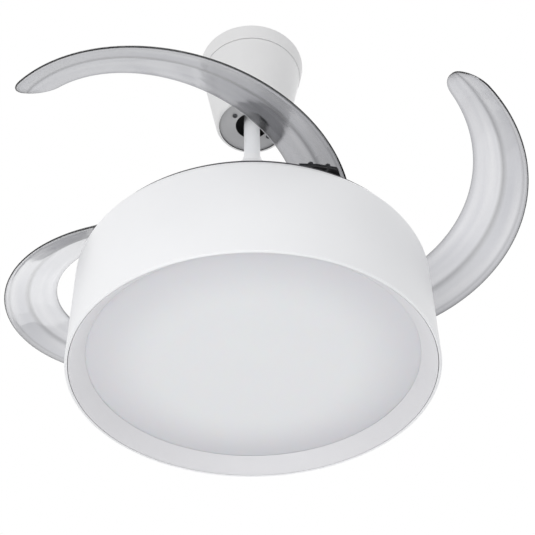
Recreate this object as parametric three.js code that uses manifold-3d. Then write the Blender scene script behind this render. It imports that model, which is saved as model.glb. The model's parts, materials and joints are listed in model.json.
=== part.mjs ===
// Retractable blade ceiling fan with an LED lamp drum.
// Millimetres, +Z up. The origin is the middle of the bracket's ceiling face,
// so the whole fan hangs in -Z. Heights in the lower half of the fan are easier
// to read from the drum's bottom rim, and up() turns them into Z.
//
// The fan is drawn as it runs: the four clear blades are swung out by
// OPEN_ANGLE. Each blade is built in its folded place, lying on a circle
// round the fan's axis, and is then turned out about its own pivot.

import * as THREE from 'three';
import { mergeVertices } from 'three/addons/utils/BufferGeometryUtils.js';
import Module from 'manifold-3d';

const wasm = await Module();
wasm.setup();

// ---------------------------------------------------------------- driving dimensions

const TOTAL_HEIGHT = 690; // ceiling to the drum's bottom rim
const GAP = 0.3; // between pieces that touch
const DEG = Math.PI / 180;

// canopy and ball joint
const CANOPY_TOP_R = 91;
const CANOPY_BASE_R = 60;
const CANOPY_HEIGHT = 164;
const CANOPY_WALL = 2;
const CANOPY_START = 0.5; // the rim stays this far below the ceiling
const RIM_BAND_HEIGHT = 29;
const ROD_HOLE_R = 27;
const CANOPY_SCREW_R = 36; // the screws' distance from the rod's axis
const CANOPY_SCREW_TURN = 39;
const BALL_R = 26;
const BALL_DROP = 52; // ball centre below the ceiling
const SEAT_THICKNESS = 2;
const CRADLE_THICKNESS = 2.8;
const BRACKET_PLATE_R = 60;
const BRACKET_PLATE_T = 3;
const BRACKET_SLOT_R = 46; // the ceiling screws' distance from the middle

// downrod, coupler and shaft
const ROD_R = 13.35;
const ROD_WALL = 1.6;
const ROD_TOP_DROP = 26;
const ROD_FOOT = 228; // heights from here on are above the drum's rim
const COUPLER_R = 20;
const COUPLER_FOOT = 205;
const COUPLER_TOP = 272;
const COVER_FOOT = 266;
const COVER_TOP = 442;
const COVER_FOOT_R = 62;
const COVER_SHOULDER_R = 33;
const SHAFT_R = 8.5;
const SHAFT_FOOT = 72;

// lamp drum
const DRUM_R = 250;
const DRUM_TOP_R = 252;
const DRUM_HEIGHT = 159;
const DRUM_WALL = 2.5;
const DRUM_EDGE_R = 11;
const DRUM_OPENING_R = 100;
const BEZEL_OUTER_R = 245.4;
const BEZEL_INNER_R = 225;
const BEZEL_RISE = 22;
const DIFFUSER_R = 230;
const DIFFUSER_T = 3;
const LAMP_PLATE_Z = 84;
const LAMP_PLATE_T = 1.5;
const PAN_FLOOR_Z = 57;
const PAN_T = 1;
const BOARD_R = 205;
const BOARD_T = 1.6;

// motor
const STATOR_R = 62;
const STATOR_Z = 109;
const STATOR_H = 24;
const ROTOR_R = 76;
const ROTOR_WALL = 5;
const ROTOR_FLOOR_Z = 96;
const ROTOR_LID_Z = 141;
const BEARING_R = 17;
const BEARING_H = 8;

// blade carrier and sync gear
const CARRIER_R = 244;
const CARRIER_Z = 160.6;
const CARRIER_T = 3;
const GEAR_Z = 164.2;
const GEAR_T = 4.8;
const GEAR_MODULE = 3;
const SYNC_TEETH = 100;
const HUB_TEETH = 38;
const RAIL_R = 125.6; // the round rail that the sync gear turns on

// blades
const BLADE_COUNT = 4;
const FIRST_PIVOT_TURN = -66.5;
const OPEN_ANGLE = 50.5;
const BLADE_R = 250; // outer edge, about the fan's axis when folded
const BLADE_SPAN = 127.5; // degrees from the pivot to the tip
const BLADE_ROOT_Z = 172.5;
const BLADE_RISE = 80; // the tip lies this much higher than the root
const BLADE_RISE_POWER = 1.35;
const BLADE_PITCH = 40; // the inner edge lies this much higher than the outer
const BLADE_T = 2.6;
const BLADE_LIP = 0.8; // the outer edge's lip stands this proud on each side
const INNER_EDGE_R = 194.6; // the inner edge is a circle, off centre
const INNER_EDGE_OFFSET = 23.6;
const INNER_EDGE_TURN = 148.4;
const RIDGE_AT = 0.44; // share of the width, from the outer edge
const RIDGE_HEIGHT = 0.54; // share of the pitch

// worked out from these
const PIVOT_R = (GEAR_MODULE * (SYNC_TEETH + HUB_TEETH)) / 2;
const SYNC_PITCH_R = (GEAR_MODULE * SYNC_TEETH) / 2;
const CARRIER_TOP = CARRIER_Z + CARRIER_T;
const GEAR_TOP = GEAR_Z + GEAR_T;
const LAMP_PLATE_TOP = LAMP_PLATE_Z + LAMP_PLATE_T;

// ---------------------------------------------------------------- finishes

const FINISH = {
  whitePaint: { color: 0xf1f2f4, roughness: 0.42, metalness: 0 },
  whitePlastic: { color: 0xf4f4f5, roughness: 0.35, metalness: 0 },
  greyPaint: { color: 0x9d9da0, roughness: 0.55, metalness: 0.1 },
  frosted: { color: 0xe4e6ea, roughness: 0.6, metalness: 0 },
  clear: { color: 0xc4c7cf, roughness: 0.06, metalness: 0, transparent: true, opacity: 0.4 },
  blackPlastic: { color: 0x26262a, roughness: 0.5, metalness: 0 },
  steel: { color: 0xa9abae, roughness: 0.35, metalness: 1 },
  aluminium: { color: 0xc3c6ca, roughness: 0.4, metalness: 1 },
  greyAnodised: { color: 0x6a6c70, roughness: 0.5, metalness: 0.8 },
  darkSteel: { color: 0x55575b, roughness: 0.45, metalness: 0.9 },
  copper: { color: 0xb0673a, roughness: 0.4, metalness: 1 },
  magnet: { color: 0x2f2f31, roughness: 0.6, metalness: 0.3 },
  nylon: { color: 0xdadad2, roughness: 0.55, metalness: 0 },
};

const fan = new THREE.Group();

function addPart(name, geometry, finish, parent = fan) {
  const mesh = new THREE.Mesh(geometry, new THREE.MeshStandardMaterial(FINISH[finish]));
  mesh.name = name;
  parent.add(mesh);
  return mesh;
}

// ---------------------------------------------------------------- shape helpers

const up = (height) => height - TOTAL_HEIGHT;
const at = (radius, turn) => new THREE.Vector2(radius * Math.cos(turn * DEG), radius * Math.sin(turn * DEG));
const upward = (heights) => heights.map(([r, h]) => [r, up(h)]);

// one closed body with merged vertices and its faces pointing out
function tidy(geometry) {
  geometry.deleteAttribute('normal');
  geometry.deleteAttribute('uv');
  const merged = mergeVertices(geometry, 1e-4);
  const p = merged.attributes.position;
  const corner = [0, 1, 2].map(() => new THREE.Vector3());
  const kept = [];
  let volume = 0;
  for (let i = 0; i < merged.index.count; i += 3) {
    const ids = [0, 1, 2].map((k) => merged.index.getX(i + k));
    if (ids[0] === ids[1] || ids[1] === ids[2] || ids[2] === ids[0]) continue;
    ids.forEach((id, k) => corner[k].fromBufferAttribute(p, id));
    volume += corner[0].dot(corner[1].cross(corner[2]));
    kept.push(...ids);
  }
  if (volume < 0) {
    for (let i = 0; i < kept.length; i += 3) [kept[i], kept[i + 1]] = [kept[i + 1], kept[i]];
  }
  merged.setIndex(kept);
  return merged;
}

// a turned piece: [radius, z] corners of a profile that closes on itself or on the axis
function turned(profile, segments = 32) {
  const points = profile.map(([r, z]) => new THREE.Vector2(r, z));
  if (profile[0][0] > 0) points.push(points[0].clone());
  const geometry = new THREE.LatheGeometry(points, segments);
  geometry.rotateX(Math.PI / 2);
  return tidy(geometry);
}

const ring = (rIn, rOut, z0, z1, segments) =>
  turned([[rIn, z0], [rOut, z0], [rOut, z1], [rIn, z1]], segments);

const rod = (radius, z0, z1, segments = 16) =>
  turned([[0, z0], [radius, z0], [radius, z1], [0, z1]], segments);

function box(x0, x1, y0, y1, z0, z1) {
  const geometry = new THREE.BoxGeometry(x1 - x0, y1 - y0, z1 - z0);
  geometry.translate((x0 + x1) / 2, (y0 + y1) / 2, (z0 + z1) / 2);
  return tidy(geometry);
}

function plate(outline, z0, z1, curveSegments = 24) {
  const geometry = new THREE.ExtrudeGeometry(outline, { depth: z1 - z0, bevelEnabled: false, curveSegments });
  geometry.translate(0, 0, z0);
  return tidy(geometry);
}

const moved = (geometry, x, y, z = 0) => geometry.clone().translate(x, y, z);

function solid(geometry) {
  return new wasm.Manifold(new wasm.Mesh({
    numProp: 3,
    vertProperties: new Float32Array(geometry.attributes.position.array),
    triVerts: new Uint32Array(geometry.index.array),
  }));
}

function shape(manifold) {
  const mesh = manifold.getMesh();
  const geometry = new THREE.BufferGeometry();
  geometry.setAttribute('position', new THREE.BufferAttribute(mesh.vertProperties, 3));
  geometry.setIndex(Array.from(mesh.triVerts));
  return geometry;
}

const join = (...pieces) => shape(pieces.map(solid).reduce((a, b) => a.add(b)));
const cut = (body, ...tools) => shape(tools.map(solid).reduce((a, b) => a.subtract(b), solid(body)));

// points of an arc in a [radius, z] profile, angles in degrees from +r
function arc(centreR, centreZ, radius, from, to, steps) {
  return Array.from({ length: steps + 1 }, (_, i) => {
    const p = at(radius, from + ((to - from) * i) / steps);
    return [centreR + p.x, centreZ + p.y];
  });
}

// a solid between a top and a bottom sheet over a grid of places (u, v), each 0 to 1
function betweenSheets(uSteps, vSteps, top, bottom) {
  const positions = [];
  const index = [];
  const row = vSteps + 1;
  const sheet = (uSteps + 1) * row;
  for (const point of [top, bottom]) {
    for (let i = 0; i <= uSteps; i++) {
      for (let j = 0; j <= vSteps; j++) positions.push(...point(i / uSteps, j / vSteps));
    }
  }
  const quad = (a, b, c, d) => index.push(a, b, c, a, c, d);
  for (let i = 0; i < uSteps; i++) {
    for (let j = 0; j < vSteps; j++) {
      const a = i * row + j;
      quad(a, a + row, a + row + 1, a + 1);
      quad(sheet + a, sheet + a + 1, sheet + a + row + 1, sheet + a + row);
    }
    for (const j of [0, vSteps]) {
      const a = i * row + j;
      if (j === 0) quad(a, sheet + a, sheet + a + row, a + row);
      else quad(a, a + row, sheet + a + row, sheet + a);
    }
  }
  for (let j = 0; j < vSteps; j++) {
    const b = uSteps * row + j;
    quad(j, j + 1, sheet + j + 1, sheet + j);
    quad(b, sheet + b, sheet + b + 1, b + 1);
  }
  const geometry = new THREE.BufferGeometry();
  geometry.setAttribute('position', new THREE.Float32BufferAttribute(positions, 3));
  geometry.setIndex(index);
  return tidy(geometry);
}

// ---------------------------------------------------------------- ceiling bracket

const canopyScrewPlaces = [0, 180].map((turn) => at(CANOPY_SCREW_R, CANOPY_SCREW_TURN + turn));
const BALL_CLEARANCE = 0.5;
const SEAT_INNER_R = BALL_R + BALL_CLEARANCE;
const CRADLE_INNER_R = SEAT_INNER_R + SEAT_THICKNESS + BALL_CLEARANCE;
const CRADLE_OUTER_R = CRADLE_INNER_R + CRADLE_THICKNESS;
const CRADLE_FROM = -8; // degrees from the ball's equator
const CRADLE_TO = -46;
const SEAT_FROM = CRADLE_FROM + 3;
const LEG_TURN = CANOPY_SCREW_TURN + 90;
const LEG_HALF = 11;
const STEM_FOOT = -22; // the threaded stems for the canopy screws reach down to here

function ceilingBracket() {
  const slotR = 3;
  const slotHalf = 9;
  const slot = new THREE.Shape();
  slot.absarc(0, slotHalf, slotR, 0, Math.PI);
  slot.absarc(0, -slotHalf, slotR, Math.PI, 2 * Math.PI);
  const slotTool = plate(slot, -BRACKET_PLATE_T - 1, 1, 4);
  const disc = cut(
    rod(BRACKET_PLATE_R, -BRACKET_PLATE_T, 0, 28),
    moved(slotTool, BRACKET_SLOT_R, 0),
    moved(slotTool, -BRACKET_SLOT_R, 0),
  );
  const cradle = turned([
    ...arc(0, -BALL_DROP, CRADLE_INNER_R, CRADLE_FROM, CRADLE_TO, 3),
    ...arc(0, -BALL_DROP, CRADLE_OUTER_R, CRADLE_TO, CRADLE_FROM, 2),
  ], 20);
  const legFrom = CRADLE_OUTER_R - 1.4;
  const legTo = CRADLE_OUTER_R + 1.6;
  const legFoot = -BALL_DROP - 12;
  const legs = [0, 180].map((turn) => (
    box(legFrom, legTo, -LEG_HALF, LEG_HALF, legFoot, -1).rotateZ((LEG_TURN + turn) * DEG)
  ));
  const stems = canopyScrewPlaces.map((place) => moved(rod(4, STEM_FOOT, -1, 8), place.x, place.y));
  const threads = canopyScrewPlaces.map((place) => moved(rod(2.3, STEM_FOOT - 1, -6, 8), place.x, place.y));
  return cut(join(disc, cradle, ...legs, ...stems), ...threads);
}

function ballSeat() {
  return turned([
    ...arc(0, -BALL_DROP, SEAT_INNER_R, SEAT_FROM, CRADLE_TO, 3),
    ...arc(0, -BALL_DROP, SEAT_INNER_R + SEAT_THICKNESS, CRADLE_TO, SEAT_FROM, 3),
  ], 20);
}

// ---------------------------------------------------------------- canopy

const canopyRadius = (drop) => CANOPY_TOP_R + ((CANOPY_BASE_R - CANOPY_TOP_R) * drop) / CANOPY_HEIGHT;

function canopyRim() {
  const foot = CANOPY_START + RIM_BAND_HEIGHT;
  const outer = canopyRadius(foot) + 1;
  const shoulder = 4;
  return turned([
    [outer, -foot],
    [canopyRadius(shoulder) + 1.3, -shoulder],
    [CANOPY_TOP_R + 0.4, -CANOPY_START],
    [CANOPY_TOP_R - CANOPY_WALL - 1, -CANOPY_START],
    [outer - CANOPY_WALL - 1.4, -foot],
  ], 32);
}

const CANOPY_BASE_Z = -CANOPY_HEIGHT + 2.2; // underside of the base plate
const CANOPY_PLATE_T = 2;

function canopyShell() {
  const start = CANOPY_START + RIM_BAND_HEIGHT + 1;
  const foot = -CANOPY_HEIGHT;
  const ledge = CANOPY_BASE_Z - GAP;
  const ledgeR = CANOPY_BASE_R - 5.4;
  return turned([
    [canopyRadius(start), -start],
    [canopyRadius(CANOPY_HEIGHT - 3), foot + 3],
    [CANOPY_BASE_R - 2.4, foot],
    [ledgeR, foot],
    [ledgeR, ledge],
    [CANOPY_BASE_R - CANOPY_WALL - 0.6, ledge],
    [canopyRadius(start) - CANOPY_WALL, -start],
  ], 32);
}

function canopyBasePlate() {
  const plateR = CANOPY_BASE_R - CANOPY_WALL - 1.1;
  const disc = ring(ROD_HOLE_R, plateR, CANOPY_BASE_Z, CANOPY_BASE_Z + CANOPY_PLATE_T, 32);
  const hole = rod(2.6, CANOPY_BASE_Z - 1, CANOPY_BASE_Z + CANOPY_PLATE_T + 1, 8);
  return cut(disc, ...canopyScrewPlaces.map((place) => moved(hole, place.x, place.y)));
}

function canopyScrew() {
  const headR = 4.2;
  const shankR = 2;
  const seat = CANOPY_BASE_Z - GAP;
  const head = seat - 2.3;
  const end = -8;
  return turned([
    [0, head], [headR - 0.8, head], [headR, head + 0.9], [headR, seat],
    [shankR, seat], [shankR, end], [0, end],
  ], 10);
}

function ceilingMount() {
  addPart('ceiling_bracket', ceilingBracket(), 'steel');
  addPart('canopy_rim', canopyRim(), 'whitePlastic');
  addPart('canopy_shell', canopyShell(), 'whitePlastic');
  addPart('canopy_base_plate', canopyBasePlate(), 'greyPaint');
  for (const [i, place] of canopyScrewPlaces.entries()) {
    const screw = addPart(`canopy_screw_${i + 1}`, canopyScrew(), 'darkSteel');
    screw.position.set(place.x, place.y, 0);
  }
  const hung = -BRACKET_PLATE_T - GAP;
  const sides = new THREE.Group();
  sides.rotation.z = LEG_TURN * DEG;
  fan.add(sides);
  // beside the legs, so between the screws' line and the canopy wall
  addPart('receiver_module', box(38, 62, -30, 30, hung - 34, hung), 'whitePlastic', sides);
  addPart('terminal_block', box(-56, -40, -16, 16, hung - 18, hung), 'nylon', sides);
  addPart('ball_seat', ballSeat(), 'nylon');
}

// ---------------------------------------------------------------- downrod and coupler

const PIN_R = 3;
const PIN_HOLE_R = PIN_R + GAP;
const COUPLER_PIN_Z = COUPLER_TOP - 18;
const ROD_BORE = ROD_R + GAP;
const LEAD_R = 3.2;

function crossHole(radius, half, z) {
  const geometry = new THREE.CylinderGeometry(radius, radius, 2 * half, 8);
  geometry.rotateZ(Math.PI / 2);
  geometry.translate(0, 0, z);
  return tidy(geometry);
}

function hangerBall() {
  const topAngle = 58;
  const footAngle = -57;
  const ball = turned([
    [ROD_BORE, -BALL_DROP + BALL_R * Math.sin(footAngle * DEG)],
    ...arc(0, -BALL_DROP, BALL_R, footAngle, topAngle, 6),
    [ROD_BORE, -BALL_DROP + BALL_R * Math.sin(topAngle * DEG)],
  ], 20);
  return cut(ball, crossHole(PIN_HOLE_R, BALL_R + 2, -BALL_DROP));
}

function downrod() {
  const tube = ring(ROD_R - ROD_WALL, ROD_R, up(ROD_FOOT), -ROD_TOP_DROP, 16);
  const reach = ROD_R + 5;
  return cut(tube, crossHole(PIN_HOLE_R, reach, -BALL_DROP), crossHole(PIN_HOLE_R, reach, up(COUPLER_PIN_Z)));
}

function coupler() {
  const body = turned(upward([
    [SHAFT_R + GAP, COUPLER_FOOT],
    [COUPLER_R, COUPLER_FOOT],
    [COUPLER_R, COUPLER_TOP - 2],
    [COUPLER_R - 2, COUPLER_TOP],
    [ROD_BORE, COUPLER_TOP],
    [ROD_BORE, ROD_FOOT - GAP],
    [SHAFT_R + GAP, ROD_FOOT - GAP],
  ]), 16);
  return cut(body, crossHole(PIN_HOLE_R, COUPLER_R + 4, up(COUPLER_PIN_Z)));
}

// a bell over the coupler, with a slim neck round the rod
function couplingCover() {
  const neck = ROD_R + 2.2;
  const waist = COVER_FOOT + 46;
  const shoulder = COVER_TOP - 30;
  const outer = [
    [COVER_FOOT_R, COVER_FOOT],
    [COVER_FOOT_R - 7, waist],
    [COVER_SHOULDER_R + 5, shoulder - 24],
    [COVER_SHOULDER_R - 1, shoulder - 2],
    [COVER_SHOULDER_R - 9, shoulder + 8],
    [neck, shoulder + 14],
    [neck, COVER_TOP],
    [ROD_BORE, COVER_TOP],
    [ROD_BORE, shoulder + 9],
  ];
  const inner = [
    [COVER_SHOULDER_R - 10, shoulder + 5],
    [COVER_SHOULDER_R - 3.4, shoulder - 4],
    [COVER_SHOULDER_R + 2.6, shoulder - 25],
    [COVER_FOOT_R - 9.2, waist],
    [COVER_FOOT_R - 2.2, COVER_FOOT],
  ];
  return turned(upward([...outer, ...inner]), 20);
}

function motorShaft() {
  const boreR = 5;
  const flangeR = 14;
  const flange = LAMP_PLATE_TOP + GAP;
  const top = ROD_FOOT - 2;
  return turned(upward([
    [boreR, SHAFT_FOOT],
    [SHAFT_R, SHAFT_FOOT],
    [SHAFT_R, flange],
    [flangeR, flange],
    [flangeR, flange + 6],
    [SHAFT_R, flange + 6],
    [SHAFT_R, top],
    [boreR, top],
  ]), 16);
}

// in the shaft's bore at the foot, then beside the two cross pins in the rod
function supplyLead() {
  const aside = PIN_R + LEAD_R + 0.6;
  const foot = up(SHAFT_FOOT - 2);
  const bend = up(ROD_FOOT - 6);
  const path = new THREE.CatmullRomCurve3([
    new THREE.Vector3(0, 0, foot), new THREE.Vector3(0, 0, bend - 20), new THREE.Vector3(0, 0, bend),
    new THREE.Vector3(0, aside, bend + 24), new THREE.Vector3(0, aside, bend + 44),
    new THREE.Vector3(0, aside, -ROD_TOP_DROP - 4),
  ]);
  const section = new THREE.Shape(Array.from({ length: 8 }, (_, i) => at(LEAD_R, i * 45)));
  return tidy(new THREE.ExtrudeGeometry(section, { steps: 22, bevelEnabled: false, extrudePath: path }));
}

function shaftNut() {
  const top = LAMP_PLATE_Z - GAP;
  const hexagon = new THREE.Shape(Array.from({ length: 6 }, (_, i) => at(15, i * 60)));
  hexagon.holes.push(new THREE.Path(Array.from({ length: 18 }, (_, i) => at(SHAFT_R + GAP, -i * 20))));
  return plate(hexagon, up(top - 8), up(top));
}

function hangingParts() {
  addPart('hanger_ball', hangerBall(), 'blackPlastic');
  addPart('ball_pin', crossHole(PIN_R, BALL_R - 2, -BALL_DROP), 'steel');
  addPart('downrod', downrod(), 'whitePaint');
  addPart('supply_lead', supplyLead(), 'blackPlastic');
  addPart('coupler', coupler(), 'aluminium');
  addPart('coupler_pin', crossHole(PIN_R, COUPLER_R + 3, up(COUPLER_PIN_Z)), 'steel');
  addPart('coupling_cover', couplingCover(), 'whitePlastic');
  addPart('motor_shaft', motorShaft(), 'steel');
  addPart('shaft_nut', shaftNut(), 'steel');
}

// ---------------------------------------------------------------- motor

function statorOutline(clearance) {
  const poles = 9;
  const coreR = 34 + clearance;
  const neckHalf = 5 + clearance;
  const shoeHalf = 16.5 + clearance;
  const outline = [];
  for (let i = 0; i < poles; i++) {
    const turn = (360 / poles) * i;
    const corner = (r, half) => at(Math.hypot(r, half), turn + Math.atan2(half, r) / DEG);
    outline.push(
      corner(coreR, -neckHalf), corner(STATOR_R - 7 - clearance, -neckHalf),
      corner(STATOR_R - 5 - clearance, -shoeHalf), corner(STATOR_R + clearance, -shoeHalf + 0.6),
      corner(STATOR_R + 1.2 + clearance, 0),
      corner(STATOR_R + clearance, shoeHalf - 0.6), corner(STATOR_R - 5 - clearance, shoeHalf),
      corner(STATOR_R - 7 - clearance, neckHalf), corner(coreR, neckHalf),
    );
  }
  return new THREE.Shape(outline);
}

const BEARING_SEAT_R = BEARING_R + GAP;
const SHAFT_BORE = SHAFT_R + GAP;
const ROTOR_INNER_R = ROTOR_R - ROTOR_WALL;

function statorCore() {
  const shaftHole = rod(SHAFT_BORE, up(STATOR_Z - 1), up(STATOR_Z + STATOR_H + 1));
  return cut(plate(statorOutline(0), up(STATOR_Z), up(STATOR_Z + STATOR_H)), shaftHole);
}

function statorWinding() {
  const overhang = 5;
  const top = STATOR_Z + STATOR_H;
  return cut(
    ring(36, STATOR_R - 9, up(STATOR_Z - overhang), up(top + overhang), 20),
    plate(statorOutline(GAP), up(STATOR_Z - GAP), up(top + GAP)),
  );
}

function rotorCup() {
  const floor = ROTOR_FLOOR_Z;
  const rim = ROTOR_LID_Z - GAP;
  const bossR = BEARING_SEAT_R + 4;
  const shaftR = SHAFT_BORE + 2;
  return turned(upward([
    [shaftR, floor], [ROTOR_R - 4, floor], [ROTOR_R, floor + 4], [ROTOR_R, rim],
    [ROTOR_INNER_R, rim], [ROTOR_INNER_R, floor + 4], [bossR, floor + 4], [bossR, floor + 11],
    [BEARING_SEAT_R, floor + 11], [BEARING_SEAT_R, floor + 2.4], [shaftR, floor + 2.4],
  ]), 24);
}

function rotorLid() {
  const lid = ROTOR_LID_Z;
  const neckR = 62;
  const neckTop = CARRIER_Z - GAP;
  const bearingTop = lid + 10.6;
  const shaftR = SHAFT_BORE + 2;
  return turned(upward([
    [BEARING_SEAT_R, lid], [ROTOR_R, lid], [ROTOR_R, lid + 4], [neckR + 2, lid + 6], [neckR, neckTop],
    [BEARING_SEAT_R + 12, neckTop], [BEARING_SEAT_R + 9, lid + 13], [shaftR, lid + 13],
    [shaftR, bearingTop], [BEARING_SEAT_R, bearingTop],
  ]), 24);
}

const bearing = (z) => ring(SHAFT_BORE, BEARING_R, up(z), up(z + BEARING_H), 14);

function motor() {
  const magnetFoot = up(STATOR_Z - 2);
  const magnetTop = up(STATOR_Z + STATOR_H + 2);
  addPart('stator_core', statorCore(), 'darkSteel');
  addPart('stator_winding', statorWinding(), 'copper');
  addPart('rotor_cup', rotorCup(), 'aluminium');
  addPart('magnet_ring', ring(STATOR_R + 3, ROTOR_INNER_R - GAP, magnetFoot, magnetTop, 24), 'magnet');
  addPart('rotor_lid', rotorLid(), 'aluminium');
  addPart('bearing_lower', bearing(ROTOR_FLOOR_Z + 2.4 + GAP), 'steel');
  addPart('bearing_upper', bearing(ROTOR_LID_Z + 2.3), 'steel');
}

// ---------------------------------------------------------------- lamp drum

function drumShell() {
  const t = DRUM_WALL;
  const wallR = DRUM_TOP_R - t - 0.6;
  const ledge = LAMP_PLATE_TOP + GAP;
  const ledgeR = DRUM_R - 16;
  const edge = DRUM_EDGE_R;
  const outside = [
    [DRUM_R - 4, 1.2], [DRUM_R - 2.4, 0], [DRUM_R, 1.4],
    ...arc(DRUM_TOP_R - edge, DRUM_HEIGHT - edge, edge, 0, 90, 3),
    [DRUM_OPENING_R, DRUM_HEIGHT],
  ];
  const inside = [
    [DRUM_OPENING_R, DRUM_HEIGHT - t],
    [DRUM_TOP_R - edge, DRUM_HEIGHT - t],
    [wallR, DRUM_HEIGHT - edge],
    [wallR, ledge + 4],
    [ledgeR, ledge + 4],
    [ledgeR, ledge],
    [DRUM_R - t - 0.6, ledge],
    [DRUM_R - t - 1, 4],
  ];
  return turned(upward([...outside, ...inside]), 40);
}

const BEZEL_TOP = BEZEL_RISE + 0.9;

function bezelRing() {
  const innerR = BEZEL_OUTER_R - 2.4;
  const top = 46;
  return turned(upward([
    [BEZEL_OUTER_R, 1.2],
    [BEZEL_INNER_R, BEZEL_TOP],
    [BEZEL_OUTER_R - 8, BEZEL_TOP],
    [innerR, BEZEL_RISE - 6],
    [innerR, top],
    [BEZEL_OUTER_R, top],
  ]), 40);
}

function lightPan() {
  const wallR = 232;
  const flangeR = wallR - 14;
  const top = LAMP_PLATE_Z - GAP;
  return turned(upward([
    [0, PAN_FLOOR_Z], [wallR, PAN_FLOOR_Z], [wallR, top], [flangeR, top], [flangeR, top - PAN_T],
    [wallR - PAN_T, top - PAN_T], [wallR - PAN_T, PAN_FLOOR_Z + PAN_T], [0, PAN_FLOOR_Z + PAN_T],
  ]), 32);
}

function ledBoard() {
  const top = up(PAN_FLOOR_Z - GAP);
  const foot = top - BOARD_T;
  const rings = [[6, 75], [9, 150]]; // [lamps, radius]
  const leds = rings.flatMap(([count, radius]) => Array.from({ length: count }, (_, i) => {
    const led = box(radius - 4, radius + 4, -4, 4, foot - 1.5, foot + 0.5);
    return led.rotateZ((i * 2 * Math.PI) / count);
  }));
  return join(rod(BOARD_R, foot, top, 36), ...leds);
}

const drumScrewPlaces = [30, 150, 270].map((turn) => at(DRUM_R - 11, turn));

function lampPlate() {
  const plateR = DRUM_R - DRUM_WALL - 2;
  const disc = ring(SHAFT_R + GAP, plateR, up(LAMP_PLATE_Z), up(LAMP_PLATE_TOP), 36);
  const hole = rod(2.3, up(LAMP_PLATE_Z - 1), up(LAMP_PLATE_TOP + 1), 8);
  return cut(disc, ...drumScrewPlaces.map((place) => moved(hole, place.x, place.y)));
}

function drumScrew() {
  const headR = 3.8;
  const shankR = 2;
  const seat = LAMP_PLATE_Z - GAP;
  return turned(upward([
    [0, seat - 2.4], [headR - 0.6, seat - 2.4], [headR, seat - 1.6], [headR, seat],
    [shankR, seat], [shankR, LAMP_PLATE_TOP], [0, LAMP_PLATE_TOP],
  ]), 8);
}

function ledDriver() {
  const foot = PAN_FLOOR_Z + PAN_T + GAP;
  return box(60, 160, -28, 28, up(foot), up(foot + 19));
}

function lampDrum() {
  addPart('drum_shell', drumShell(), 'whitePlastic');
  addPart('bezel_ring', bezelRing(), 'whitePlastic');
  const seat = up(BEZEL_TOP + GAP);
  addPart('diffuser', rod(DIFFUSER_R, seat, seat + DIFFUSER_T, 40), 'frosted');
  addPart('lamp_plate', lampPlate(), 'steel');
  addPart('light_pan', lightPan(), 'whitePaint');
  addPart('led_board', ledBoard(), 'aluminium');
  addPart('led_driver', ledDriver(), 'whitePlastic');
  for (const [i, place] of drumScrewPlaces.entries()) {
    const screw = addPart(`drum_screw_${i + 1}`, drumScrew(), 'steel');
    screw.position.set(place.x, place.y, 0);
  }
}

// ---------------------------------------------------------------- blade carrier

const POST_R = 8;
const POST_FOOT_R = 6;
const BLADE_TURN = 360 / BLADE_COUNT;
const bladeTurns = Array.from({ length: BLADE_COUNT }, (_, i) => FIRST_PIVOT_TURN + i * BLADE_TURN);

function bladeCarrier() {
  const boreR = 40;
  const railTop = GEAR_TOP - 0.6;
  const disc = turned(upward([
    [boreR, CARRIER_Z], [CARRIER_R, CARRIER_Z], [CARRIER_R, CARRIER_TOP], [RAIL_R, CARRIER_TOP],
    [RAIL_R, railTop], [RAIL_R - 6, railTop], [RAIL_R - 6, CARRIER_TOP], [boreR, CARRIER_TOP],
  ]), 36);
  const hole = rod(POST_FOOT_R + GAP, up(CARRIER_Z - 1), up(CARRIER_TOP + 1), 10);
  return cut(disc, ...bladeTurns.map((turn) => {
    const place = at(PIVOT_R, turn);
    return moved(hole, place.x, place.y);
  }));
}

// a bell-shaped cap over the sync gear, open in the middle for the coupler
function topCover() {
  const foot = CARRIER_TOP + GAP;
  const rim = GEAR_TOP + 2.4;
  const opening = rim + 90;
  const bend = rim + 62; // where the bell meets its inner skirt
  const bell = [[160, rim], [158, rim + 6], [136, rim + 19], [104, rim + 40], [78, rim + 68], [64, opening]];
  const skirt = [[60, opening], [60, bend], [58, foot], [66, foot], [68, bend]];
  const underside = [[101, rim + 37], [134, rim + 16], [156, rim]];
  return turned(upward([...bell, ...skirt, ...underside]), 26);
}

// the teeth of a gear sector, as [radius, turn] corners; the pitch point of tooth n is n pitches round
function toothCorners(teeth, centreTurn) {
  const pitchR = (GEAR_MODULE * teeth) / 2;
  const halfAtPitch = 2.0 / pitchR / DEG;
  const lean = Math.tan(21 * DEG) / pitchR / DEG;
  const tipR = pitchR + GEAR_MODULE * 0.95;
  const footR = pitchR - GEAR_MODULE * 1.2;
  const halfTip = halfAtPitch - (tipR - pitchR) * lean;
  const halfFoot = halfAtPitch + (pitchR - footR) * lean;
  return [
    [footR, centreTurn - halfFoot], [tipR, centreTurn - halfTip],
    [tipR, centreTurn + halfTip], [footR, centreTurn + halfFoot],
  ];
}

function syncGear() {
  const pitch = 360 / SYNC_TEETH;
  const footR = SYNC_PITCH_R - GEAR_MODULE * 1.2;
  const outline = [];
  for (const middle of bladeTurns) {
    for (let k = -7; k <= 1; k++) outline.push(...toothCorners(SYNC_TEETH, middle + k * pitch));
    for (let turn = 10; turn <= 58; turn += 12) outline.push([footR, middle + turn]);
  }
  const gear = new THREE.Shape(outline.map(([r, turn]) => at(r, turn)));
  gear.holes.push(new THREE.Path(Array.from({ length: 36 }, (_, i) => at(RAIL_R + 0.8, -i * 10))));
  return plate(gear, up(GEAR_Z), up(GEAR_TOP - 0.6));
}

// ---------------------------------------------------------------- blades
// Built with the pivot on +X and the blade folded, then placed by placeBlade().

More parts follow.
